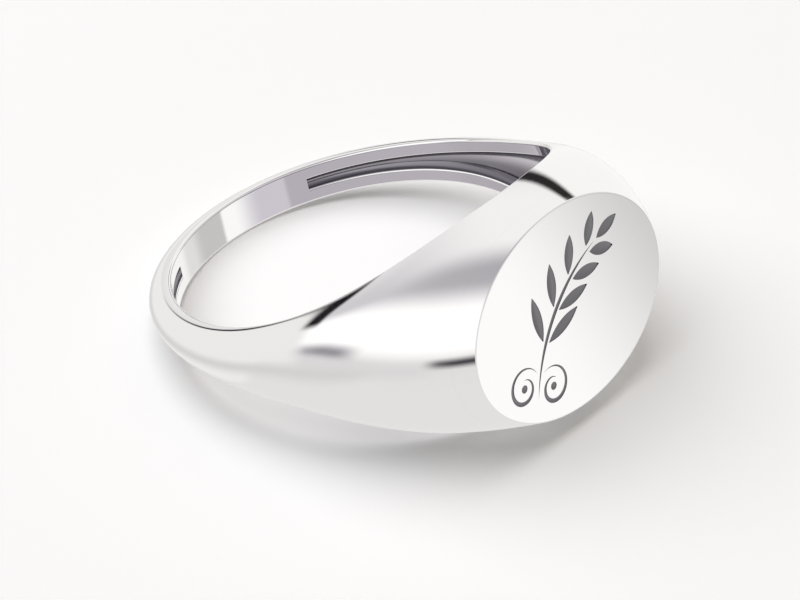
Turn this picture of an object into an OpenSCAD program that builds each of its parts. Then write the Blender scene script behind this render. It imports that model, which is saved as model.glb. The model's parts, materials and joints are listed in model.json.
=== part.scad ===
// Oval signet ring in polished silver, lying on its side as it rests on a table.
// Every piece is drawn upright first, with the finger along Z, the flat face looking along -Y and
// the origin at the finger's centre. The whole ring is then leaned over on to the two points that
// it rests on: the lower edge of the head, and the back of the band.

/* [Finger] */
// Inner diameter of the ring
bore_d = 17.3; // [15:0.1:21]

/* [Flat face] */
// Width of the oval face, across the finger
face_w = 11.9; // [9:0.1:14.4]
// Height of the oval face, along the finger
face_h = 9.2; // [7:0.1:11.2]
// Thickness of the face plate
plate_t = 0.8; // [0.7:0.05:1.1]

/* [Head and shoulders] */
// Thickness of the head, from the finger to the flat face
head_t = 2.9; // [2.4:0.05:3.8]
// How far each side of the head stands out beyond the face, where it meets the finger
head_flare = 0.3; // [0.2:0.05:0.6]
// Angle round the finger in which the head's width runs down to the band
width_angle = 64; // [54:1:76]
// How suddenly the width runs down: 2 is a bell curve
width_power = 2.15; // [1.8:0.05:2.8]
// Angle beyond the face's tip in which the shoulder's thickness runs down to the band
thickness_angle = 57; // [50:1:75]

/* [Band] */
// Width of the band at the back of the finger
band_w = 1.8; // [1.5:0.1:2.6]
// Thickness of the band
band_t = 1.15; // [0.9:0.05:1.5]
// Angle of the solid back piece, round the finger
shank_angle = 58; // [44:2:80]

/* [Hollow back] */
// Width of the rim that is left on each side of the hollow
rim_w = 0.65; // [0.5:0.05:0.75]
// Depth of the hollow where it starts, at the shank
hollow_start = 0.3; // [0.2:0.05:0.5]
// Depth of the hollow behind the face
hollow_head = 1.2; // [0.6:0.05:1.3]

/* [Solder] */
// Thickness of a solder seam
seam_t = 0.1; // [0.06:0.01:0.15]

/* [Engraving] */
// Depth of the engraved strokes
groove_depth = 0.25; // [0.15:0.05:0.4]
// How far the dark fill lies below the face
fill_below = 0.04; // [0.02:0.01:0.08]
// Size of the leaf sprig, as a share of its drawn size
sprig_scale = 1; // [0.7:0.05:1.15]
// Widest part of a leaf
leaf_w = 0.56; // [0.4:0.02:0.7]
// Widest part of the stem
stem_w = 0.2; // [0.14:0.02:0.3]

/* [Hidden] */

bore_r = bore_d / 2;
// Distance from the finger's centre to the flat face
face_y = bore_r + head_t;
head_half_w = face_h / 2 + head_flare;
// Angle round the finger at which the oval face ends
face_tip = atan(face_w / 2 / face_y);
// Angle round the finger, from the face, at which the shank is joined on
joint_angle = 180 - shank_angle / 2;
seam_angle = seam_t / (bore_r + band_t / 2) * 180 / PI;

// Steps round the finger, in degrees, and across a section
round_step = 4;
section_steps = 20;
hollow_steps = 10;
// A section's first and last corners stand this far round it, clear of the bore's own wall
section_foot = 5;
hollow_foot = 18;
// How far a cutting tool runs past what it cuts, in mm and in degrees
past = 1;
past_angle = 6;

silver = [0.86, 0.86, 0.87];
solder = [0.78, 0.78, 0.8];
oxide = [0.4, 0.4, 0.42];

// ---- Outer shape. Every section across the ring is half an ellipse that stands on the finger. ----

// Runs from 1 behind the face down to 0 at the back
function bell(t) = exp(-pow(abs(t) / width_angle, width_power));

// Half the width of the ring along the finger, at t degrees from the middle of the face
function half_w(t) = band_w / 2 + (head_half_w - band_w / 2) * bell(t);

// Half the height of the oval face, on the line at t degrees
function face_half_h(t) = face_h / 2 * sqrt(max(0, 1 - pow(face_y * tan(t) / (face_w / 2), 2)));

// Height of the half ellipse that meets the edge of the oval face, on the line at t degrees
function head_rise(t) = (face_y / cos(t) - bore_r) / sqrt(1 - pow(face_half_h(t) / half_w(t), 2));

// The shoulder leaves the face's tip with the slope and the curvature that the head has there,
// and comes down to the band with neither
tip_nudge = 0.1;
tip_rise = face_y / cos(face_tip) - bore_r;
rise_before = head_rise(face_tip - tip_nudge);
rise_before_2 = head_rise(face_tip - 2 * tip_nudge);
tip_slope = (3 * tip_rise - 4 * rise_before + rise_before_2) / (2 * tip_nudge);
tip_bend = (tip_rise - 2 * rise_before + rise_before_2) / pow(tip_nudge, 2);
drop = tip_rise - band_t;
drop_1 = 3 + tip_slope * thickness_angle / drop;
drop_2 = (tip_bend * pow(thickness_angle, 2) / drop + 6 * drop_1 - 6) / 2;

function shoulder_rise(t) =
    let (s = min(1, (t - face_tip) / thickness_angle))
    band_t + drop * pow(1 - s, 3) * (1 + drop_1 * s + drop_2 * s * s);

// Height of the section above the finger, at t degrees
function rise(t) = abs(t) < face_tip ? head_rise(abs(t)) : shoulder_rise(abs(t));

// A half ellipse across the ring as points [distance from the axis, place along the finger],
// closed inside the finger hole, where the bore cuts it off
function section(half_width, height, foot, count) = [
    [bore_r - past, half_width],
    for (i = [0:count])
        let (u = foot + (180 - 2 * foot) * i / count)
        [bore_r + height * sin(u), half_width * cos(u)],
    [bore_r - past, -half_width]
];

// Places a section on the line at t degrees from the middle of the face
function placed_section(t, points) = [for (p = points) [p[0] * sin(t), -p[0] * cos(t), p[1]]];

// A closed body through a list of sections that have the same number of points. The end faces
// fan out from the crown of the section, so that the bore crosses few of their edges.
module loft(sections) {
    n = len(sections[0]);
    last = len(sections) - 1;
    crown = floor(n / 2);
    polyhedron(
        points = [for (s = sections) each s],
        faces = [
            [for (i = [0:n - 1]) (crown + i) % n],
            for (k = [0:last - 1], i = [0:n - 1])
                let (j = (i + 1) % n, a = k * n, b = a + n)
                each [[a + i, b + i, b + j], [a + i, b + j, a + j]],
            [for (i = [0:n - 1]) last * n + (crown + n - i) % n]
        ]
    );
}

// Angles from one to the other in even steps of about round_step
function steps(from, to) =
    let (count = ceil((to - from) / round_step))
    [for (i = [0:count]) from + (to - from) * i / count];

// The ring's outer shape between two angles, with the finger hole cut through it
module blank(from, to) {
    difference() {
        loft([
            for (t = steps(from, to))
                placed_section(t, section(half_w(t), rise(t), section_foot, section_steps))
        ]);
        cylinder(h = 4 * head_half_w, r = bore_r, center = true, $fn = 180);
    }
}

// ---- Hollow back ----

function hollow_depth(t) = hollow_start + (hollow_head - hollow_start) * bell(t);

module hollow() {
    reach = joint_angle + past_angle;
    loft([
        for (t = steps(-reach, reach))
            placed_section(t, section(half_w(t) - rim_w, hollow_depth(t), hollow_foot, hollow_steps))
    ]);
}

// ---- Flat face ----

// Everything between two depths below the flat face
module slab(from, to) {
    wide = 4 * face_y;
    translate([-wide / 2, from - face_y, -wide / 2]) cube([wide, to - from, wide]);
}

// Puts a flat drawing, seen as a person looks at the face, at a depth below the face
module on_face(depth, thickness) {
    translate([0, depth - face_y, 0]) rotate([90, 0, 0])
        translate([0, 0, -thickness]) linear_extrude(thickness) children();
}

// The angle at which the plate's lower side leaves the shoulders, with some to spare
plate_reach = face_tip + 18;

// ---- Engraved sprig: a bent stem with leaves in pairs, and two tendrils that curl round a seed ----

// The sprig is drawn for a face of this width and height, and shrinks or grows with the face
drawn_face = [11.9, 9.2];
sprig_fit = sprig_scale * min(face_w / drawn_face[0], face_h / drawn_face[1]);

// The stem is an arc of this radius, drawn from its lower end
stem_r = 7.6;
stem_start = [-2.9, -2.9];
stem_from = 162;
stem_to = 106;
leaf_pairs = 4;
leaf_long = 2.2;
leaf_short = 1.5;
// Angle between a leaf and the stem
leaf_spread = 38;
// Gap between a leaf's foot and the middle of the stem
leaf_gap = 0.3;
tendril_r = 0.95;
tendril_turn = 430;
// Share of its radius that a tendril loses as it curls
tendril_shrink = 0.6;
seed_r = 0.18;
stroke_steps = 24;

stem_centre = stem_start - stem_r * [cos(stem_from), sin(stem_from)];
function stem_point(s) =
    let (a = stem_from + (stem_to - stem_from) * s)
    stem_centre + stem_r * [cos(a), sin(a)];
// Direction in which the stem grows
function stem_heading(s) = stem_from + (stem_to - stem_from) * s - 90;

// A cut along a spiral that starts on the X axis, swells in the middle and is pointed at both ends
module stroke(radius, turn, width, shrink, count) {
    function edge(i, side) =
        let (s = i / count, r = radius * (1 - shrink * s) + side * width / 2 * sin(180 * s))
        r * [cos(turn * s), sin(turn * s)];
    polygon([
        for (i = [0:count]) edge(i, 1),
        for (i = [count - 1:-1:1]) edge(i, -1)
    ]);
}

// A leaf from the origin along X: the lens that two circles share
module leaf(length, width) {
    radius = (pow(length, 2) + pow(width, 2)) / (4 * width);
    translate([length / 2, 0]) intersection_for(side = [-1, 1])
        translate([0, side * (radius - width / 2)]) circle(radius, $fn = 90);
}

// A curl that leaves the stem as a leaf does, with a seed in its middle
module tendril(s, side) {
    translate(stem_point(s)) rotate(stem_heading(s) + side * leaf_spread - 90)
        mirror([side < 0 ? 1 : 0, 0]) translate([-tendril_r, leaf_gap]) {
            stroke(tendril_r, tendril_turn, stem_w, tendril_shrink, 2 * stroke_steps);
            circle(seed_r, $fn = 32);
        }
}

module sprig() {
    scale(sprig_fit) {
        translate(stem_centre) rotate(stem_from)
            stroke(stem_r, stem_to - stem_from, stem_w, 0, stroke_steps);
        for (k = [0:leaf_pairs - 1], side = [-1, 1]) {
            s = 0.3 + 0.6 * k / (leaf_pairs - 1);
            translate(stem_point(s)) rotate(stem_heading(s) + side * leaf_spread)
                translate([leaf_gap, 0])
                    leaf(leaf_long + (leaf_short - leaf_long) * k / (leaf_pairs - 1), leaf_w);
        }
        translate(stem_point(1)) rotate(stem_heading(1)) translate([leaf_gap / 2, 0])
            leaf(leaf_short, leaf_w);
        for (side = [-1, 1]) tendril(0.12, side);
    }
}

// ---- Resting place. The slope comes from the two points that the ring rests on. ----

rest_a = 4 * pow(bore_r, 2) - pow(band_t, 2);
rest_b = 4 * bore_r * head_half_w;
rest_c = pow(head_half_w, 2) - pow(band_w / 2, 2);
lean = atan((rest_b - sqrt(pow(rest_b, 2) - 4 * rest_a * rest_c)) / (2 * rest_a));
centre_z = head_half_w * cos(lean) - bore_r * sin(lean);
front_y = -face_y * cos(lean) - face_h / 2 * sin(lean);
back_y = bore_r * cos(lean) + sqrt(pow(band_t * cos(lean), 2) + pow(band_w / 2 * sin(lean), 2));

module resting() {
    translate([0, -(front_y + back_y) / 2, centre_z]) rotate([-lean, 0, 0]) children();
}

// ---- Pieces ----

// Solid half-round back of the band
module shank() {
    color(silver) resting() blank(joint_angle + seam_angle, 360 - joint_angle - seam_angle);
}

// Head and both shoulders, hollowed from the back
module head() {
    color(silver) resting() difference() {
        blank(-joint_angle, joint_angle);
        hollow();
        slab(-face_y, plate_t + seam_t);
    }
}

// Flat oval plate that carries the engraving
module table_plate() {
    color(silver) resting() difference() {
        intersection() {
            blank(-plate_reach, plate_reach);
            slab(0, plate_t);
        }
        on_face(-past, groove_depth + past) sprig();
    }
}

// Dark fill in the engraved strokes
module engraving_inlay() {
    color(oxide) resting() on_face(fill_below, groove_depth - fill_below) sprig();
}

// The two seams that hold the shank between the shoulders
module shank_solder_seams() {
    color(solder) resting() for (side = [0, 1]) mirror([side, 0, 0])
        blank(joint_angle, joint_angle + seam_angle);
}

// The seam that holds the plate on the head
module table_solder_seam() {
    color(solder) resting() intersection() {
        blank(-plate_reach, plate_reach);
        slab(plate_t, plate_t + seam_t);
    }
}

shank();
head();
table_plate();
engraving_inlay();
shank_solder_seams();
table_solder_seam();
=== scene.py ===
import json
import math

import bmesh
import bpy
import numpy as np
from mathutils import Matrix, Vector
from mathutils.geometry import delaunay_2d_cdt


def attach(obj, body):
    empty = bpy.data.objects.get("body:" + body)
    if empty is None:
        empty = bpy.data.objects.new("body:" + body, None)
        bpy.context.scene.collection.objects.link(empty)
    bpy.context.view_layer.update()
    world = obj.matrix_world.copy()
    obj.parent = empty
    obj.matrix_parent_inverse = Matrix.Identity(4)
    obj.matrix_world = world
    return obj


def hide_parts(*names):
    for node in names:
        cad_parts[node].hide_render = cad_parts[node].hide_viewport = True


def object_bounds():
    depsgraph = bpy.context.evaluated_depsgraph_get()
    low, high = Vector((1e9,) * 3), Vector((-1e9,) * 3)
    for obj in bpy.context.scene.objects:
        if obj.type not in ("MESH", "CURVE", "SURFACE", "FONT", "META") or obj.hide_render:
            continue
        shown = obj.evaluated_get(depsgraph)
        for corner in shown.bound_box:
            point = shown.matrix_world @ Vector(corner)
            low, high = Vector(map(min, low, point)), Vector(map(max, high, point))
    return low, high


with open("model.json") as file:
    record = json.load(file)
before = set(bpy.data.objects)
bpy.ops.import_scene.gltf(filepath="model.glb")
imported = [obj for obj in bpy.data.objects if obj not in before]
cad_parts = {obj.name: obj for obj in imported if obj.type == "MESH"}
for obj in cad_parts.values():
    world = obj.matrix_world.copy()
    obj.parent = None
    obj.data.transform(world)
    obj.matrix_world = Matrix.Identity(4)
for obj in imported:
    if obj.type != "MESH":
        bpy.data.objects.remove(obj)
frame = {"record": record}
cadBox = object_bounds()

# Oval signet ring, lying on a pale table. The ring is drawn upright first, in millimetres, with the
# finger along Z and the face looking along -Y, and is then placed by the frame's own mounts.

mounts = {m["name"]: m for m in frame["record"]["mounts"]}
mm = 0.001

# where the ring goes: its middle and axes, from the mounts

ringCentre = np.array(mounts["finger_bore"]["pos_m"])
fingerAxis = np.array(mounts["finger_bore"]["axis"])
faceAxis = np.array(mounts["table_face"]["axis"])
sideAxis = np.cross(fingerAxis, faceAxis)  # to the right of a person who looks at the face
ringAxes = np.array([sideAxis, -faceAxis, fingerAxis])


def toWorld(points):
    return ringCentre + mm * (np.asarray(points, float) @ ringAxes)


def turnToWorld(vectors):
    return np.asarray(vectors, float) @ ringAxes


# shape of the ring: every section across it is half an ellipse that stands on the finger

ring = {
    "boreRadius": mounts["finger_bore"]["dims"]["r_mm"],
    "faceWidth": 11.9,
    "faceHeight": 9.2,
    "headThickness": 2.9,
    "headFlare": 0.3,
    "widthAngle": 64,  # the head's width runs down to the band in this many degrees
    "widthPower": 2.15,
    "thicknessAngle": 57,  # and the shoulder's thickness in this many, beyond the face's tip
    "bandWidth": 1.8,
    "bandThickness": 1.15,
    "shankAngle": 58,
    "seam": 0.1,
    "edgeRadius": 0.13,  # outer edge of the rim, rounded for comfort
    "roundStep": 0.75,  # degrees round the finger between two sections
    "edgeSteps": 8,  # steps across one section: round its edge, from there to its crown,
    "crownSteps": 34,
    "wallSteps": 8,  # and along the finger's wall
}
boreRadius = ring["boreRadius"]
faceY = boreRadius + ring["headThickness"]
headHalfWidth = ring["faceHeight"] / 2 + ring["headFlare"]
faceTip = math.degrees(math.atan(ring["faceWidth"] / 2 / faceY))
jointAngle = 180 - ring["shankAngle"] / 2
seamAngle = math.degrees(ring["seam"] / (boreRadius + ring["bandThickness"] / 2))


def bell(t):
    return np.exp(-((np.abs(t) / ring["widthAngle"]) ** ring["widthPower"]))


def halfWidth(t):
    band = ring["bandWidth"] / 2
    return band + (headHalfWidth - band) * bell(t)


def headRise(t):
    # the half ellipse that meets the edge of the oval face
    across = faceY * np.tan(np.radians(t)) / (ring["faceWidth"] / 2)
    faceHalf = ring["faceHeight"] / 2 * np.sqrt(np.maximum(0, 1 - across**2))
    edgeRise = faceY / np.cos(np.radians(t)) - boreRadius
    return edgeRise / np.sqrt(1 - (faceHalf / halfWidth(t)) ** 2)


# the shoulder leaves the face's tip with the height, slope and bend that the head has there
tipNudge = 0.1  # degrees
tipRise, riseBefore, riseBefore2 = (float(headRise(faceTip - k * tipNudge)) for k in (0, 1, 2))
tipSlope = (3 * tipRise - 4 * riseBefore + riseBefore2) / (2 * tipNudge)
tipBend = (tipRise - 2 * riseBefore + riseBefore2) / tipNudge**2
drop = tipRise - ring["bandThickness"]
drop1 = 3 + tipSlope * ring["thicknessAngle"] / drop
drop2 = (tipBend * ring["thicknessAngle"] ** 2 / drop + 6 * drop1 - 6) / 2


def rise(t):
    t = np.abs(np.asarray(t, float))
    s = np.clip((t - faceTip) / ring["thicknessAngle"], 0, 1)
    shoulder = ring["bandThickness"] + drop * (1 - s) ** 3 * (1 + drop1 * s + drop2 * s * s)
    return np.where(t < faceTip, headRise(np.minimum(t, faceTip)), shoulder)


def outerNormal(points):
    # the way the outer surface looks at these points, from the slopes of its formula
    x, y, z = np.asarray(points, float).T
    t, rho = np.degrees(np.arctan2(x, -y)), np.hypot(x, y)
    step = 0.05  # degrees
    height, width = rise(t), halfWidth(t)
    perRadian = 1 / math.radians(2 * step)
    heightSlope = (rise(t + step) - rise(t - step)) * perRadian
    widthSlope = (halfWidth(t + step) - halfWidth(t - step)) * perRadian
    up = rho - boreRadius
    outward = 2 * up / height**2
    along = 2 * z / width**2
    around = (-2 * up**2 / height**3 * heightSlope - 2 * z**2 / width**3 * widthSlope) / rho
    a = np.radians(t)
    toSide = outward * np.sin(a) + around * np.cos(a)
    toBack = around * np.sin(a) - outward * np.cos(a)
    normal = np.stack([toSide, toBack, along], 1)
    return normal / np.linalg.norm(normal, axis=1, keepdims=True)


def solveRising(f, low, high, halvings=48):
    # where a rising function passes zero
    low, high = np.array(low, float), np.array(high, float)
    for _ in range(halvings):
        mid = (low + high) / 2
        above = f(mid) > 0
        high = np.where(above, mid, high)
        low = np.where(above, low, mid)
    return (low + high) / 2


# profiles across the ring, as points and directions [out from the finger, along the finger]


def halfProfile(height, width, radius, side, arcSteps, curveSteps):
    # from the finger, round an edge of that radius, along half an ellipse to its crown;
    # side is 1 for the outside of the ring and -1 for the wall of the hollow
    def lean(u):
        a, b = np.sin(u) / height, np.cos(u) / width
        size = np.hypot(a, b)
        return a / size, b / size

    zero = np.zeros_like(height)
    u0 = solveRising(
        lambda u: height * np.sin(u) - side * radius * lean(u)[0] - radius, zero, zero + math.pi / 2
    )
    out, along = lean(u0)
    centreOut = boreRadius + radius
    centreAlong = width * np.cos(u0) - side * radius * along
    turn = math.pi - np.arctan2(along, out) if side > 0 else -np.arctan2(along, out)
    points, tangents = [], []
    for k in range(arcSteps):
        angle = math.pi - turn * k / arcSteps
        points.append([centreOut + radius * np.cos(angle), centreAlong + radius * np.sin(angle)])
        tangents.append([np.sin(angle) * side, -np.cos(angle) * side])
    for k in range(curveSteps + 1):
        u = u0 + (math.pi / 2 - u0) * k / curveSteps
        points.append([boreRadius + height * np.sin(u), width * np.cos(u)])
        out, along = lean(u)
        tangents.append([along, -out])
    return np.moveaxis(np.array(points), 2, 0), np.moveaxis(np.array(tangents), 2, 0)


def mirrored(points, tangents):
    # the whole profile from one foot over the crown to the other foot
    back = points[:, -2::-1] * [1, -1]
    backTangents = tangents[:, -2::-1] * [-1, 1]
    return np.concatenate([points, back], 1), np.concatenate([tangents, backTangents], 1)


def flatRun(start, end, count):
    # straight line along the finger's wall, without its ends
    share = np.arange(1, count)[None, :, None] / count
    points = start[:, None] + (end - start)[:, None] * share
    way = np.sign(end[:, 1] - start[:, 1])[:, None]
    tangents = np.zeros_like(points)
    tangents[:, :, 1] = way
    return points, tangents


def hollowDepth(hollow, t):
    return hollow["start"] + (hollow["head"] - hollow["start"]) * bell(t)


def loops(angles, hollow=None):
    # closed profiles at these angles: outside, finger wall and, where there is one, the hollow
    height, width = rise(angles), halfWidth(angles)
    outer, outerWay = mirrored(
        *halfProfile(height, width, ring["edgeRadius"], 1, ring["edgeSteps"], ring["crownSteps"])
    )
    if hollow is None:
        wall, wallWay = flatRun(outer[:, -1], outer[:, 0], ring["wallSteps"])
        return np.concatenate([outer, wall], 1), np.concatenate([outerWay, wallWay], 1)
    inner, innerWay = mirrored(
        *halfProfile(
            hollowDepth(hollow, angles), width - hollow["rim"], hollow["edgeRadius"], -1,
            hollow["edgeSteps"], hollow["crownSteps"],
        )
    )
    inner, innerWay = inner[:, ::-1], -innerWay[:, ::-1]
    rimA, wayA = flatRun(outer[:, -1], inner[:, 0], hollow["rimSteps"])
    rimB, wayB = flatRun(inner[:, -1], outer[:, 0], hollow["rimSteps"])
    return (
        np.concatenate([outer, rimA, inner, rimB], 1),
        np.concatenate([outerWay, wayA, innerWay, wayB], 1),
    )


def swept(angles, profiles, ways):
    # profiles turned round the finger: points and the way the surface looks at each of them
    a = np.radians(angles)[:, None]
    out = np.stack([np.sin(a), -np.cos(a), 0 * a], 2)
    up = np.array([0, 0, 1.0])
    points = profiles[:, :, :1] * out + profiles[:, :, 1:] * up
    lines = ways[:, :, :1] * out + ways[:, :, 1:] * up
    nextWay = np.gradient(points, angles, axis=0, edge_order=2)  # on to the next section
    normals = np.cross(lines, nextWay)
    return points, normals / np.linalg.norm(normals, axis=2, keepdims=True)


# pieces from corners, faces and the way each corner looks


def addPiece(name, verts, faces, normals, node):
    # a closed mesh with the way it looks given for every corner of every face
    mesh = bpy.data.meshes.new(name)
    mesh.from_pydata([tuple(p) for p in toWorld(verts)], [], faces)
    mesh.polygons.foreach_set("use_smooth", [True] * len(mesh.polygons))
    mesh.update()
    mesh.normals_split_custom_set([tuple(n) for n in turnToWorld(normals)])
    piece = bpy.data.objects.new(name, mesh)
    bpy.context.scene.collection.objects.link(piece)
    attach(piece, "root")
    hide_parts(node)
    return piece


def sweptMesh(angles, profiles, ways):
    # faces between neighbouring sections, and a flat end at each side
    points, normals = swept(angles, profiles, ways)
    rows, count = points.shape[:2]
    at = np.arange(rows * count).reshape(rows, count)
    side = [
        (at[i, j], at[i, (j + 1) % count], at[i + 1, (j + 1) % count], at[i + 1, j])
        for i in range(rows - 1)
        for j in range(count)
    ]
    ends = [tuple(at[0, ::-1]), tuple(at[-1])]
    return points.reshape(-1, 3), normals.reshape(-1, 3), side, ends


def cornerNormals(verts, normals, side, flat):
    # round faces look the way their surface does, and flat ones straight out
    looks = []
    for face in side:
        looks.extend(normals[v] for v in face)
    for face in flat:
        p = verts[list(face)]
        area = np.cross(p, np.roll(p, -1, 0)).sum(0)
        looks.extend([area / np.linalg.norm(area)] * len(face))
    return np.array(looks)


def angleSteps(start, end):
    return np.linspace(start, end, max(3, math.ceil((end - start) / ring["roundStep"]) + 1))


def addSwept(name, start, end, node, hollow=None):
    # a piece of the band between two angles
    angles = angleSteps(start, end)
    verts, normals, side, ends = sweptMesh(angles, *loops(angles, hollow))
    return addPiece(name, verts, side + ends, cornerNormals(verts, normals, side, ends), node)


# shank: solid half-round back of the band

shank = addSwept("shank", jointAngle + seamAngle, 360 - jointAngle - seamAngle, "shank")
print("shank:", len(shank.data.polygons), "faces")

# seams of silver solder between the shank and the shoulders, filed flush

seams = [
    addSwept("shank_solder_" + sideName, start, start + seamAngle, "shank_solder_seams")
    for sideName, start in (("right", jointAngle), ("left", 360 - jointAngle - seamAngle))
]

# head and shoulders, hollowed from the back and cut flat for the plate

head = {
    "plateThickness": 0.8,
    "hollow": {
        "start": 0.3,  # depth at the joint
        "head": 1.2,  # and behind the face
        "rim": 0.65,
        "edgeRadius": 0.09,
        "edgeSteps": 6,
        "crownSteps": 18,
        "rimSteps": 4,
    },
    "onPlane": 1e-7,  # mm from the cut at which a corner counts as on it
}
cutDepth = head["plateThickness"] + ring["seam"]


def addHead():
    angles = angleSteps(-jointAngle, jointAngle)
    verts, normals, side, ends = sweptMesh(angles, *loops(angles, head["hollow"]))
    bm = bmesh.new()
    look = bm.verts.layers.float_vector.new("look")
    flat = bm.faces.layers.int.new("flat")
    made = [bm.verts.new(v) for v in verts]
    for vert, normal in zip(made, normals):
        vert[look] = normal
    for face in side:
        bm.faces.new([made[v] for v in face])
    for face in ends:
        bm.faces.new([made[v] for v in face])[flat] = 1
    cutY = cutDepth - faceY
    cut = bmesh.ops.bisect_plane(
        bm,
        geom=bm.verts[:] + bm.edges[:] + bm.faces[:],
        dist=head["onPlane"],
        plane_co=(0, cutY, 0),
        plane_no=(0, -1, 0),
        clear_outer=True,
    )
    rim = [e for e in cut["geom_cut"] if isinstance(e, bmesh.types.BMEdge)]
    rimVerts = list(dict.fromkeys(v for e in rim for v in e.verts))
    for vert, normal in zip(rimVerts, outerNormal([v.co for v in rimVerts])):
        vert[look] = normal
    for face in bmesh.ops.contextual_create(bm, geom=rim)["faces"]:
        face[flat] = 1
    bmesh.ops.triangulate(bm, faces=[f for f in bm.faces if f[flat]])
    bmesh.ops.recalc_face_normals(bm, faces=bm.faces)
    bm.verts.index_update()
    verts = np.array([v.co for v in bm.verts])
    faces = [tuple(v.index for v in f.verts) for f in bm.faces]
    looks = [f.normal if f[flat] else v[look] for f in bm.faces for v in f.verts]
    bm.free()
    return addPiece("head", verts, faces, np.array(looks), "head")


headPiece = addHead()
print("head:", len(headPiece.data.polygons), "faces")

# plates of the flat face: outlines where the outside meets a plane below the face

plate = {
    "outlinePoints": 360,
    "edgeDepth": 0.06,  # the edge of the face is rounded down to here
    "edgeSteps": 6,
    "wallSteps": 12,
    "grooveDepth": 0.25,
    "samePoint": 1e-9,  # mm between two corners that count as one
}


def faceOutline(depth):
    y = faceY - depth
    low, high = faceTip * 0.9, faceTip + 25  # degrees between which this outline has its tip
    tip = solveRising(lambda t: y / np.cos(np.radians(t)) - boreRadius - rise(t), low, high)
    turn = 2 * math.pi * np.arange(plate["outlinePoints"]) / plate["outlinePoints"]
    x = y * math.tan(math.radians(float(tip))) * np.cos(turn)
    t = np.degrees(np.arctan(x / y))
    share = np.clip((np.hypot(x, y) - boreRadius) / rise(t), 0, 1)
    z = np.sign(np.sin(turn)) * halfWidth(t) * np.sqrt(1 - share**2)
    return np.stack([x, np.full_like(x, -y), z], 1)


def around(points):
    # direction along a closed outline at each of its points
    way = np.roll(points, -1, 0) - np.roll(points, 1, 0)
    return way / np.linalg.norm(way, axis=1, keepdims=True)


def wallRows(start, end, steps):
    rows = [faceOutline(start + (end - start) * k / steps) for k in range(steps + 1)]
    return rows, [outerNormal(row) for row in rows]


def edgeRows():
    # a round edge that leaves the face level and meets the wall in its own slope
    depth, nudge = plate["edgeDepth"], 0.002  # nudge down the wall to find its slope
    low = faceOutline(depth)
    down = (faceOutline(depth + nudge) - faceOutline(depth - nudge)) / (2 * nudge)
    corner = low - down * depth
    outward = np.cross(around(corner), [0, -1, 0])
    outward /= np.linalg.norm(outward, axis=1, keepdims=True)
    high = corner - outward * np.linalg.norm(low - corner, axis=1, keepdims=True)
    rows, looks = [], []
    for k in range(plate["edgeSteps"]):
        s = k / plate["edgeSteps"]
        row = (1 - s) ** 2 * high + 2 * s * (1 - s) * corner + s**2 * low
        way = 2 * (1 - s) * (corner - high) + 2 * s * (low - corner)
        look = np.cross(way, around(row))
        rows.append(row)
        looks.append(look / np.linalg.norm(look, axis=1, keepdims=True))
    return rows, looks


def ringFaces(rowCount, count, first=0):
    # faces between closed rows of points, the first row on top
    return [
        (first + i * count + j, first + (i + 1) * count + j,
         first + (i + 1) * count + (j + 1) % count, first + i * count + (j + 1) % count)
        for i in range(rowCount - 1)
        for j in range(count)
    ]


def addTableSeam():
    rows, looks = wallRows(head["plateThickness"], cutDepth, 2)
    count = plate["outlinePoints"]
    verts = np.concatenate(rows)
    side = ringFaces(len(rows), count)
    top = tuple(range(count))
    bottom = tuple(reversed(range(len(verts) - count, len(verts))))
    faces = side + [top, bottom]
    looks = cornerNormals(verts, np.concatenate(looks), side, [top, bottom])
    return addPiece("table_solder", verts, faces, looks, "table_solder_seam")


tableSeam = addTableSeam()

# engraved sprig: a bent stem with leaves in pairs, and two tendrils that curl round a seed

sprig = {
    "stemRadius": 7.6,
    "stemStart": (-2.9, -2.9),
    "stemFrom": 162,  # degrees on the stem's own circle
    "stemTo": 106,
    "stemWidth": 0.2,
    "stemSteps": 48,
    "leafPairs": 4,
    "leafFrom": 0.3,  # share of the stem where the leaves start, and over which they go on
    "leafRun": 0.6,
    "leafLong": 2.2,
    "leafShort": 1.5,
    "leafWidth": 0.56,
    "leafSpread": 38,
    "leafGap": 0.3,
    "leafSteps": 20,
    "tendrilAt": 0.12,
    "tendrilRadius": 0.95,
    "tendrilTurn": 430,
    "tendrilShrink": 0.6,
    "tendrilSteps": 96,
    "seedRadius": 0.18,
    "seedSteps": 16,
    "fillBelow": 0.04,  # the fill lies this far under the face at its edges,
    "fillDish": 0.03,  # and dips by this much more between them
    "fillGap": 0.002,
    "fillLines": 7,  # lines of corners across a cut
    "fillCrease": 40,  # degrees from which an edge of the fill is sharp
}


def turned(points, angle):
    a = math.radians(angle)
    return points @ np.array([[math.cos(a), math.sin(a)], [-math.sin(a), math.cos(a)]])


def stemPoint(s):
    a = math.radians(sprig["stemFrom"] + (sprig["stemTo"] - sprig["stemFrom"]) * s)
    return stemCentre + sprig["stemRadius"] * np.array([math.cos(a), math.sin(a)])


def stemHeading(s):
    return sprig["stemFrom"] + (sprig["stemTo"] - sprig["stemFrom"]) * s - 90


stemAngle = math.radians(sprig["stemFrom"])
stemCentre = np.array(sprig["stemStart"]) - sprig["stemRadius"] * np.array(
    [math.cos(stemAngle), math.sin(stemAngle)]
)


def spiralCut(radius, turn, width, shrink, count):
    # the middle of a cut and its two sides, from one pointed end to the other
    s = np.linspace(0, 1, count + 1)[:, None]
    a = np.radians(turn * s)
    spoke = np.concatenate([np.cos(a), np.sin(a)], 1)
    middle = radius * (1 - shrink * s) * spoke
    half = width / 2 * np.sin(math.pi * s) * spoke
    return middle, half


def leafCut(length, width, count):
    radius = (length**2 + width**2) / (4 * width)
    a = np.linspace(-1, 1, count + 1) * math.asin(length / 2 / radius)
    half = radius * np.cos(a) - (radius - width / 2)
    middle = np.stack([length / 2 + radius * np.sin(a), 0 * a], 1)
    return middle, np.stack([0 * a, half], 1)


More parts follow.
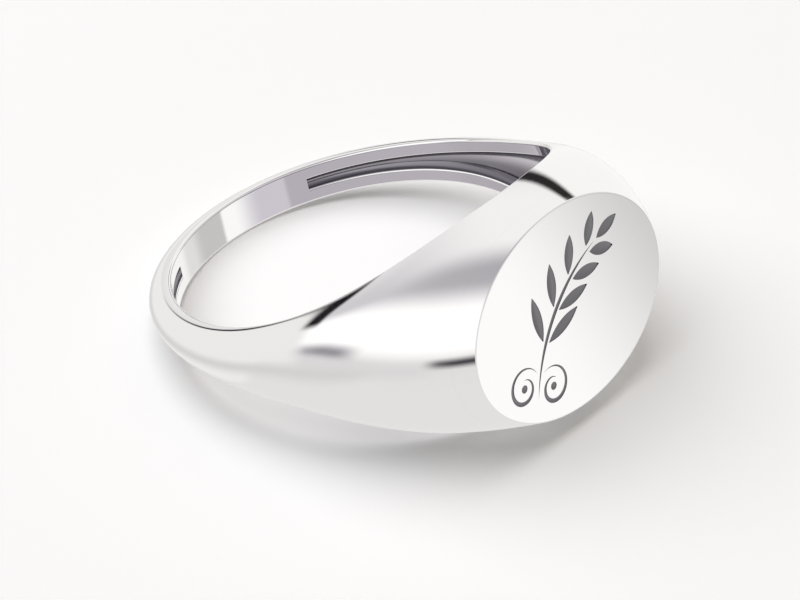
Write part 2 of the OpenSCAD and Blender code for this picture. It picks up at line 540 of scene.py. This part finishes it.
def seedCut(radius, count):
    a = np.linspace(math.pi, 0, count + 1)
    middle = radius * np.stack([np.cos(a), 0 * a], 1)
    return middle, radius * np.stack([0 * a, np.sin(a)], 1)


def sprigCuts():
    cuts = []

    def put(cut, angle, place, offset=(0, 0), flip=1):
        middle, half = cut
        middle = turned((middle + offset) * [flip, 1], angle) + place
        cuts.append((middle, turned(half * [flip, 1], angle)))

    s = sprig
    stemTurn = s["stemTo"] - s["stemFrom"]
    stem = spiralCut(s["stemRadius"], stemTurn, s["stemWidth"], 0, s["stemSteps"])
    put(stem, s["stemFrom"], stemCentre)
    for k in range(s["leafPairs"]):
        up = k / (s["leafPairs"] - 1)
        at = s["leafFrom"] + s["leafRun"] * up
        long = s["leafLong"] + (s["leafShort"] - s["leafLong"]) * up
        leaf = leafCut(long, s["leafWidth"], s["leafSteps"])
        for side in (-1, 1):
            angle = stemHeading(at) + side * s["leafSpread"]
            put(leaf, angle, stemPoint(at), (s["leafGap"], 0))
    topLeaf = leafCut(s["leafShort"], s["leafWidth"], s["leafSteps"])
    put(topLeaf, stemHeading(1), stemPoint(1), (s["leafGap"] / 2, 0))
    at = s["tendrilAt"]
    curl = spiralCut(
        s["tendrilRadius"], s["tendrilTurn"], s["stemWidth"], s["tendrilShrink"], s["tendrilSteps"]
    )
    seed = seedCut(s["seedRadius"], s["seedSteps"])
    offset = (-s["tendrilRadius"], s["leafGap"])
    for side in (-1, 1):
        angle = stemHeading(at) + side * s["leafSpread"] - 90
        put(curl, angle, stemPoint(at), offset, side)
        put(seed, angle, stemPoint(at), offset, side)
    return cuts


def cutOutline(cut):
    # closed outline that runs anticlockwise as a person looks at the face
    middle, half = cut
    outline = np.concatenate([middle - half, (middle + half)[-2:0:-1]])
    x, y = outline.T
    area = (x * np.roll(y, -1) - np.roll(x, -1) * y).sum()
    return outline if area > 0 else outline[::-1]


def onFace(points, depth):
    points = np.asarray(points, float)
    return np.stack([points[:, 0], np.full(len(points), depth - faceY), points[:, 1]], 1)


def addTablePlate(cuts):
    # the face with its grooves, its round edge, its wall and its flat back
    edge, edgeLooks = edgeRows()
    wall, wallLooks = wallRows(plate["edgeDepth"], head["plateThickness"], plate["wallSteps"])
    count = plate["outlinePoints"]
    rows = edge + wall
    verts = [np.concatenate(rows)]
    normals = [np.concatenate(edgeLooks + wallLooks)]
    side = ringFaces(len(rows), count)
    last = (len(rows) - 1) * count
    flat = [tuple(reversed(range(last, last + count)))]
    outlines = [cutOutline(cut) for cut in cuts]
    flatPoints = np.concatenate([edge[0][:, [0, 2]]] + outlines)
    bounds, first = [], 0
    for outline in [edge[0]] + outlines:
        bounds.append(list(range(first, first + len(outline))))
        first += len(outline)
    # 1 keeps what lies inside the outlines; each new corner and face says what it came from
    _, _, parts, fromPoints, _, fromOutlines = delaunay_2d_cdt(
        [Vector(p) for p in flatPoints], [], bounds, 1, plate["samePoint"], True
    )
    # where each point of the flat drawing is among the plate's corners, on top and in a groove
    onTop = list(range(count))
    inGroove = [None] * count
    free = len(rows) * count  # the next corner's number
    for outline in outlines:
        n = len(outline)
        depths = (0, plate["grooveDepth"])
        verts += [onFace(outline, d) for d in depths]
        normals += [np.zeros((n, 3))] * 2
        onTop += range(free, free + n)
        inGroove += range(free + n, free + 2 * n)
        for k in range(n):
            flat.append((free + k, free + (k + 1) % n, free + n + (k + 1) % n, free + n + k))
        free += 2 * n
    for face, inside in zip(parts, fromOutlines):
        corners = [fromPoints[v][0] for v in face]
        if len(inside) > 1:
            flat.append(tuple(inGroove[v] for v in corners))
        else:
            flat.append(tuple(onTop[v] for v in corners))
    verts = np.concatenate(verts)
    looks = cornerNormals(verts, np.concatenate(normals), side, flat)
    return addPiece("table_plate", verts, side + flat, looks, "table_plate")


def addFill(cuts):
    # dark fill in each groove, with a dished top
    verts, faces, first = [], [], 0
    tiny = 1e-6  # keeps a cut's pointed end from dividing by zero
    for middle, half in cuts:
        size = np.linalg.norm(half, axis=1, keepdims=True)
        half = half * np.maximum(0, 1 - sprig["fillGap"] / np.maximum(size, tiny))
        middle, half = middle[1:-1], half[1:-1]
        across = np.linspace(-1, 1, sprig["fillLines"])
        n, m = len(middle), len(across)
        widest = np.linalg.norm(half, axis=1).max()
        for share in across:
            dip = sprig["fillDish"] * (1 - share**2) * np.linalg.norm(half, axis=1) / widest
            top = onFace(middle + half * share, 0)
            top[:, 1] += sprig["fillBelow"] + dip
            verts.append(top)
        for share in (-1, 1):
            verts.append(onFace(middle + half * share, plate["grooveDepth"] - sprig["fillGap"]))
        grid = first + np.arange((m + 2) * n).reshape(m + 2, n)
        path = list(range(m)) + [m + 1, m]
        for i in range(m + 2):
            a, b = grid[path[i]], grid[path[(i + 1) % (m + 2)]]
            faces += [(a[k], a[k + 1], b[k + 1], b[k]) for k in range(n - 1)]
        faces += [tuple(grid[path, 0]), tuple(grid[path[::-1], -1])]
        first += (m + 2) * n
    mesh = bpy.data.meshes.new("engraving_fill")
    mesh.from_pydata([tuple(p) for p in toWorld(np.concatenate(verts))], [], faces)
    bm = bmesh.new()
    bm.from_mesh(mesh)
    bmesh.ops.recalc_face_normals(bm, faces=bm.faces)
    for face in bm.faces:
        face.smooth = len(face.verts) == 4
    for e in bm.edges:
        e.smooth = e.calc_face_angle(0) < math.radians(sprig["fillCrease"])
    bm.to_mesh(mesh)
    bm.free()
    piece = bpy.data.objects.new("engraving_fill", mesh)
    bpy.context.scene.collection.objects.link(piece)
    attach(piece, "root")
    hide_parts("engraving_inlay")
    return piece


cuts = sprigCuts()
tablePlate = addTablePlate(cuts)
fill = addFill(cuts)
print("face plate:", len(tablePlate.data.polygons), "faces, with", len(cuts), "engraved cuts")

# camera, above the ring and to one side of its face

camera = {
    "azimuth": -47.576,
    "elevation": 36.5,
    "roll": 2.589,  # degrees that the camera leans to the right
    "distance": 0.21,  # from the middle of the finger hole
    "lens": 217.1,
    "sensor": 36,
    "aimRight": 0.00134,  # metres from the finger hole's middle to where the camera aims
    "aimUp": -0.00181,
}


def addCamera():
    a, e, r = (math.radians(camera[k]) for k in ("azimuth", "elevation", "roll"))
    back = Vector((math.sin(a) * math.cos(e), -math.cos(a) * math.cos(e), math.sin(e)))
    level = Vector((math.cos(a), math.sin(a), 0))
    lift = back.cross(level)
    right = level * math.cos(r) - lift * math.sin(r)
    up = level * math.sin(r) + lift * math.cos(r)
    data = bpy.data.cameras.new("camera")
    data.lens, data.sensor_width = camera["lens"], camera["sensor"]
    data.clip_start, data.clip_end = 0.01, 10
    made = bpy.data.objects.new("camera", data)
    eye = Vector(ringCentre) + back * camera["distance"]
    aim = Vector(ringCentre) + right * camera["aimRight"] + up * camera["aimUp"]
    away = (eye - aim).normalized()
    side = up.cross(away).normalized()
    top = away.cross(side)
    turn = [[side[i], top[i], away[i]] for i in range(3)]
    made.matrix_world = Matrix.Translation(eye) @ Matrix(turn).to_4x4()
    bpy.context.scene.collection.objects.link(made)
    bpy.context.scene.camera = made


addCamera()

# materials: silver and its solder, in five finishes, two of them with painted shade


def linear(hexColour):
    # sRGB hex to the linear colour that a shader takes
    parts = [int(hexColour[i : i + 2], 16) / 255 for i in (1, 3, 5)]
    return [c / 12.92 if c <= 0.04045 else ((c + 0.055) / 1.055) ** 2.4 for c in parts] + [1]


def perMetre(millimetres):
    # how often a pattern of this size comes in a metre, which is what a texture's scale counts
    return 1 / (millimetres * mm)


def addNode(tree, kind, settings=None, links=None):
    node = tree.nodes.new(kind)
    for key, value in (settings or {}).items():
        if isinstance(key, int) or key in node.inputs:
            node.inputs[key].default_value = value
        else:
            setattr(node, key, value)
    for key, source in (links or {}).items():
        tree.links.new(source, node.inputs[key])
    return node


def newMaterial(name):
    material = bpy.data.materials.new(name)
    material.use_nodes = True
    tree = material.node_tree
    tree.nodes.clear()
    shader = addNode(tree, "ShaderNodeBsdfPrincipled")
    addNode(tree, "ShaderNodeOutputMaterial", links={"Surface": shader.outputs["BSDF"]})
    place = addNode(tree, "ShaderNodeTexCoord").outputs["Object"]
    return material, tree, shader, place


def metalFinish(name, look):
    # metal worked by hand: a faint swell left by the buff, with fine hairlines across it
    material, tree, shader, place = newMaterial(name)
    shader.inputs["Metallic"].default_value = 1
    shader.inputs["Base Color"].default_value = linear(look["colour"])
    if "paintedShadeRamp" in look:
        # painted shade: the tone runs to another one between two places in the scene, in
        # millimetres
        paintedShadeRamp = look["paintedShadeRamp"]
        far = addNode(
            tree, "ShaderNodeVectorMath", {"operation": "DOT_PRODUCT", 1: paintedShadeRamp["way"]},
            {0: place},
        )
        start, end = paintedShadeRamp["start"] * mm, paintedShadeRamp["end"] * mm
        share = addNode(
            tree, "ShaderNodeMapRange",
            {"interpolation_type": "SMOOTHSTEP", "From Min": start, "From Max": end},
            {"Value": far.outputs["Value"]},
        )
        tones = {6: linear(look["colour"]), 7: linear(paintedShadeRamp["colour"])}
        tone = addNode(
            tree, "ShaderNodeMix", {"data_type": "RGBA", **tones}, {0: share.outputs["Result"]}
        )
        tree.links.new(tone.outputs[2], shader.inputs["Base Color"])
    swell = addNode(
        tree, "ShaderNodeTexNoise", {"Scale": perMetre(look["swell"]), "Detail": 1.0},
        {"Vector": place},
    )
    along = addNode(
        tree, "ShaderNodeMapping", {"Scale": look["hairWay"], "Rotation": look["hairTurn"]},
        {"Vector": place},
    )
    hairs = addNode(
        tree, "ShaderNodeTexNoise",
        {"Scale": perMetre(look["hair"]), "Detail": 3.0, "Roughness": 0.65},
        {"Vector": along.outputs["Vector"]},
    )
    # the hairs' noise lies mostly between 0.35 and 0.75
    smoothest, roughest = look["roughness"]
    rough = addNode(
        tree, "ShaderNodeMapRange",
        {"From Min": 0.35, "From Max": 0.75, "To Min": smoothest, "To Max": roughest},
        {"Value": hairs.outputs["Fac"]},
    )
    tree.links.new(rough.outputs["Result"], shader.inputs["Roughness"])
    broad = addNode(
        tree, "ShaderNodeBump", {"Strength": 1.0, "Distance": look["swellHeight"] * mm},
        {"Height": swell.outputs["Fac"]},
    )
    fine = addNode(
        tree, "ShaderNodeBump", {"Strength": 1.0, "Distance": look["hairHeight"] * mm},
        {"Height": hairs.outputs["Fac"], "Normal": broad.outputs["Normal"]},
    )
    tree.links.new(fine.outputs["Normal"], shader.inputs["Normal"])
    return material


# sterling silver, buffed with rouge to a mirror: nearly white, with a faint swell and hairlines
polishedSilver = metalFinish("sterling_silver_mirror_polished", {
    "colour": "#F8F7F6",
    "roughness": (0.03, 0.055),
    "swell": 2.4,
    "swellHeight": 0.0004,
    "hair": 0.25,  # real hairlines are ten times finer
    "hairHeight": 0.00002,
    "hairWay": (1, 1, 6),
    "hairTurn": (0.2, 0.3, 0.1),
})
# the same silver on the finger's wall, a little less polished, with painted shade that darkens its
# colour towards the head in place of the darker reflections there
innerSilver = metalFinish("sterling_silver_inner_wall_painted_shade", {
    "colour": "#F5F4F3",
    "paintedShadeRamp": {"colour": "#C6C1C9", "way": (1, 0, 0), "start": 0.4, "end": 2.0},
    "roughness": (0.04, 0.07),
    "swell": 2.4,
    "swellHeight": 0.0004,
    "hair": 0.2,
    "hairHeight": 0.00003,
    "hairWay": (1, 1, 6),
    "hairTurn": (0.2, 0.3, 0.1),
})
# and inside the hollow, where the buff hardly reaches: a little rougher, and grey with painted
# shade, darkest on its lower side
hollowMiddle = float(np.dot(ringCentre, fingerAxis)) / mm
hollowSilver = metalFinish("sterling_silver_satin_hollow_painted_shade", {
    "colour": "#6E6A72",
    "paintedShadeRamp": {
        "colour": "#D8D4DA",
        "way": tuple(fingerAxis),
        "start": hollowMiddle - 0.6,
        "end": hollowMiddle + 1.0,
    },
    "roughness": (0.1, 0.18),
    "swell": 1.5,
    "swellHeight": 0.002,
    "hair": 0.18,
    "hairHeight": 0.0001,
    "hairWay": (1, 1, 5),
    "hairTurn": (0, 0, 0),
})
# hard silver solder, filed and polished flush: a touch warmer than the silver
hardSolder = metalFinish("silver_solder_polished", {
    "colour": "#F7F6F4",
    "roughness": (0.03, 0.055),
    "swell": 2.4,
    "swellHeight": 0.0004,
    "hair": 0.2,
    "hairHeight": 0.00002,
    "hairWay": (1, 1, 6),
    "hairTurn": (0.2, 0.3, 0.1),
})
# oxidised silver in the engraved cuts: dark grey with a soft sheen, and the graver's fine lines
oxidisedSilver = metalFinish("silver_oxidised_satin", {
    "colour": "#7C7B7E",
    "roughness": (0.28, 0.42),
    "swell": 0.6,
    "swellHeight": 0.001,
    "hair": 0.06,
    "hairHeight": 0.0006,
    "hairWay": (1, 1, 4),
    "hairTurn": (0.1, 0.8, 0),
})

for piece in (shank, headPiece, tablePlate):
    piece.data.materials.append(polishedSilver)
for piece in (*seams, tableSeam):
    piece.data.materials.append(hardSolder)
fill.data.materials.append(oxidisedSilver)


def insideFaces(piece, wallSlot, hollowSlot=None):
    # the faces on the finger's wall, and those in the head's hollow, take finishes of their own,
    # which carry painted shade
    onWall, nearHollow, nearJoint = 0.004, 0.02, 0.01  # the first two in mm, the last in degrees
    corners = (np.array([v.co for v in piece.data.vertices]) - ringCentre) / mm @ ringAxes.T
    hollow = head["hollow"]
    for face in piece.data.polygons:
        x, y, z = corners[list(face.vertices)].mean(0)
        t = math.degrees(math.atan2(x, -y))
        up = math.hypot(x, y) - boreRadius
        between = abs(z) < halfWidth(t) - hollow["rim"] + nearHollow
        under = hollow["edgeRadius"] / 2 < up < hollowDepth(hollow, t) + nearHollow
        if up < onWall:
            face.material_index = wallSlot
        elif hollowSlot and between and under and abs(t) < jointAngle - nearJoint:
            face.material_index = hollowSlot


# the finger's wall and the hollow get the materials with painted shade
for piece in (shank, headPiece, *seams):
    piece.data.materials.append(innerSilver)
headPiece.data.materials.append(hollowSilver)
for piece in (shank, *seams):
    insideFaces(piece, 1)
insideFaces(headPiece, 1, 2)
print("materials: done")

# table top, at the ring's lowest point

table = {"size": 1.2, "colour": "#FFFFFF", "grain": 0.35, "grainHeight": 0.004}


def addTable():
    # matt white board with a fine grain
    half = table["size"] / 2
    mesh = bpy.data.meshes.new("table_top")
    corners = [(-half, -half), (half, -half), (half, half), (-half, half)]
    ground = cadBox[0][2]
    mesh.from_pydata([(x, y, ground) for x, y in corners], [], [(0, 1, 2, 3)])
    piece = bpy.data.objects.new("table_top", mesh)
    bpy.context.scene.collection.objects.link(piece)
    material, tree, shader, place = newMaterial("board_matt_white")
    shader.inputs["Base Color"].default_value = linear(table["colour"])
    shader.inputs["Roughness"].default_value = 0.9
    shader.inputs["Specular IOR Level"].default_value = 0.1
    grain = addNode(
        tree, "ShaderNodeTexNoise", {"Scale": perMetre(table["grain"]), "Detail": 2.0},
        {"Vector": place},
    )
    bump = addNode(
        tree, "ShaderNodeBump", {"Strength": 0.2, "Distance": table["grainHeight"] * mm},
        {"Height": grain.outputs["Fac"]},
    )
    tree.links.new(bump.outputs["Normal"], shader.inputs["Normal"])
    mesh.materials.append(material)
    piece.visible_glossy = False  # the silver mirrors the studio's cards, not the bare board


addTable()

# studio: what the silver mirrors, by direction from the ring

# every place is an azimuth and an elevation, and every size is in degrees too
studio = {
    "low": "#E8E7E6",
    # tones of the backdrop, each full and gone at these degrees from straight up
    "tones": [
        {"colour": "#E4E3E3", "full": 80, "gone": 130},
        {"colour": "#D2D0D4", "full": 50, "gone": 85},
        {"colour": "#B7B5BA", "full": 20, "gone": 48},
        {"colour": "#A9A6AD", "full": 0, "gone": 24},
    ],
    # cards in front of it, each over the ones before: half sizes make a rectangle, a radius a disc
    "cards": [
        {"at": (268, 33), "halfSizes": (52, 27), "soft": 12, "colour": "#FFFFFF", "level": 1.12},
        {"at": (126, 42), "halfSizes": (30, 33), "soft": 16, "colour": "#F9F8F8"},
        # soft grey gap under the first one, darkest at its two ends
        {"at": (248, 4), "halfSizes": (9, 8), "soft": 7, "colour": "#9B989F"},
        {"at": (305, -3), "halfSizes": (11, 4), "soft": 4, "colour": "#48454B"},
        {"at": (265, -10), "halfSizes": (30, 8), "soft": 8, "colour": "#DFDEDF"},
        {"at": (143, -14), "radius": 14, "soft": 8, "colour": "#F3F2F1"},
        {
            "at": (198, -15), "radius": 45.8, "soft": 1.5, "colour": "#F2F1F0",
            "gap": {"at": (184, 27), "reach": 33, "width": 2.2, "colour": "#1E1C20"},
        },
        {"at": (200, -34), "halfSizes": (62, 10), "soft": 11, "colour": "#D9D8D7"},
        {
            "at": (106, -6), "radius": 30.5, "soft": 3.0, "colour": "#FDFCFB",
            "gap": {"at": (131, 10), "reach": 22, "width": 4.2, "colour": "#2B2A2B"},
        },
        # grey card low in front and the edge of a bright one, which the flat face mirrors
        {"at": (50, -14), "radius": 16, "soft": 6, "colour": "#CBCACA"},
        {"at": (18, -22.5), "radius": 22.05, "soft": 1.25, "colour": "#FFFFFF", "level": 1.04},
    ],
    # a dark gap along a card's edge is full to these shares of its width and of its reach
    "gapWidth": 0.3,
    "gapReach": 0.55,
}


def direction(azimuth, elevation):
    # azimuth 0 is towards -Y and 90 towards +X
    a, e = math.radians(azimuth), math.radians(elevation)
    return Vector((math.sin(a) * math.cos(e), -math.cos(a) * math.cos(e), math.sin(e)))


def degreesFrom(tree, way, ahead, across=None):
    # degrees between what the silver mirrors and a direction, in all or only across it
    forward = addNode(
        tree, "ShaderNodeVectorMath", {"operation": "DOT_PRODUCT", 1: ahead}, {0: way}
    ).outputs["Value"]
    if across is None:
        angle = addNode(tree, "ShaderNodeMath", {"operation": "ARCCOSINE"}, {0: forward})
    else:
        sideways = addNode(
            tree, "ShaderNodeVectorMath", {"operation": "DOT_PRODUCT", 1: across}, {0: way}
        ).outputs["Value"]
        off = addNode(tree, "ShaderNodeMath", {"operation": "ABSOLUTE"}, {0: sideways}).outputs[0]
        angle = addNode(tree, "ShaderNodeMath", {"operation": "ARCTAN2"}, {0: off, 1: forward})
    return addNode(
        tree, "ShaderNodeMath", {"operation": "DEGREES"}, {0: angle.outputs[0]}
    ).outputs[0]


def addLayer(tree, below, colour, level, fades):
    # lays a tone over the ones below; each fade is what it goes by, and where it is full and gone
    share = None
    for off, full, gone in fades:
        part = addNode(
            tree, "ShaderNodeMapRange",
            {"interpolation_type": "SMOOTHSTEP", "From Min": gone, "From Max": full},
            {"Value": off},
        ).outputs["Result"]
        if share is not None:
            part = addNode(
                tree, "ShaderNodeMath", {"operation": "MULTIPLY"}, {0: share, 1: part}
            ).outputs[0]
        share = part
    settings = {"data_type": "RGBA", 7: [c * level for c in linear(colour)[:3]] + [1]}
    links = {0: share}
    (settings if isinstance(below, list) else links)[6] = below
    return addNode(tree, "ShaderNodeMix", settings, links).outputs[2]


def addCard(tree, way, below, card):
    centre, soft = direction(*card["at"]), card["soft"]
    if "halfSizes" in card:
        azimuth = math.radians(card["at"][0])
        across = Vector((math.cos(azimuth), math.sin(azimuth), 0))
        axes = across, across.cross(centre)
        fades = [
            (degreesFrom(tree, way, centre, axis), half - soft, half + soft)
            for axis, half in zip(axes, card["halfSizes"])
        ]
    else:
        radius = card["radius"]
        off = degreesFrom(tree, way, centre)
        fades = [(off, radius - soft, radius + soft)]
    colour = addLayer(tree, below, card["colour"], card.get("level", 1.0), fades)
    if "gap" in card:
        gap = card["gap"]
        fromEdge = addNode(tree, "ShaderNodeMath", {"operation": "SUBTRACT", 1: radius}, {0: off})
        near = addNode(
            tree, "ShaderNodeMath", {"operation": "ABSOLUTE"}, {0: fromEdge.outputs[0]}
        ).outputs[0]
        sector = degreesFrom(tree, way, direction(*gap["at"]))
        fades = [
            (near, gap["width"] * studio["gapWidth"], gap["width"]),
            (sector, gap["reach"] * studio["gapReach"], gap["reach"]),
        ]
        colour = addLayer(tree, colour, gap["colour"], 1.0, fades)
    return colour


def addStudio():
    world = bpy.data.worlds.new("studio")
    bpy.context.scene.world = world
    world.use_nodes = True
    tree = world.node_tree
    tree.nodes.clear()
    way = addNode(tree, "ShaderNodeTexCoord").outputs["Generated"]
    fromTop = degreesFrom(tree, way, Vector((0, 0, 1)))
    colour = linear(studio["low"])
    for tone in studio["tones"]:
        fades = [(fromTop, tone["full"], tone["gone"])]
        colour = addLayer(tree, colour, tone["colour"], 1.0, fades)
    for card in studio["cards"]:
        colour = addCard(tree, way, colour, card)
    background = addNode(tree, "ShaderNodeBackground", {"Strength": 1.0}, {"Color": colour})
    addNode(tree, "ShaderNodeOutputWorld", links={"Surface": background.outputs[0]})
    world.cycles_visibility.diffuse = False


addStudio()

# lights for the table: the silver doesn't mirror them

lights = {
    "overhead": {"at": (205, 64), "away": 0.7, "size": 1.1, "power": 6.75, "colour": "#FDFDFF"},
    "fill": {"at": (60, 60), "away": 0.7, "size": 0.8, "power": 1.4, "colour": "#FFF5EA"},
}
for name, light in lights.items():
    data = bpy.data.lights.new(name, "AREA")
    data.shape = "DISK"
    data.size = light["size"]
    data.energy = light["power"]
    data.color = linear(light["colour"])[:3]
    lamp = bpy.data.objects.new(name, data)
    way = direction(*light["at"])
    lamp.location = Vector(ringCentre) + way * light["away"]
    lamp.rotation_mode = "QUATERNION"
    lamp.rotation_quaternion = way.to_track_quat("Z", "Y")
    lamp.visible_glossy = False
    bpy.context.scene.collection.objects.link(lamp)

bpy.context.scene.view_settings.view_transform = "Standard"
print("studio: done")
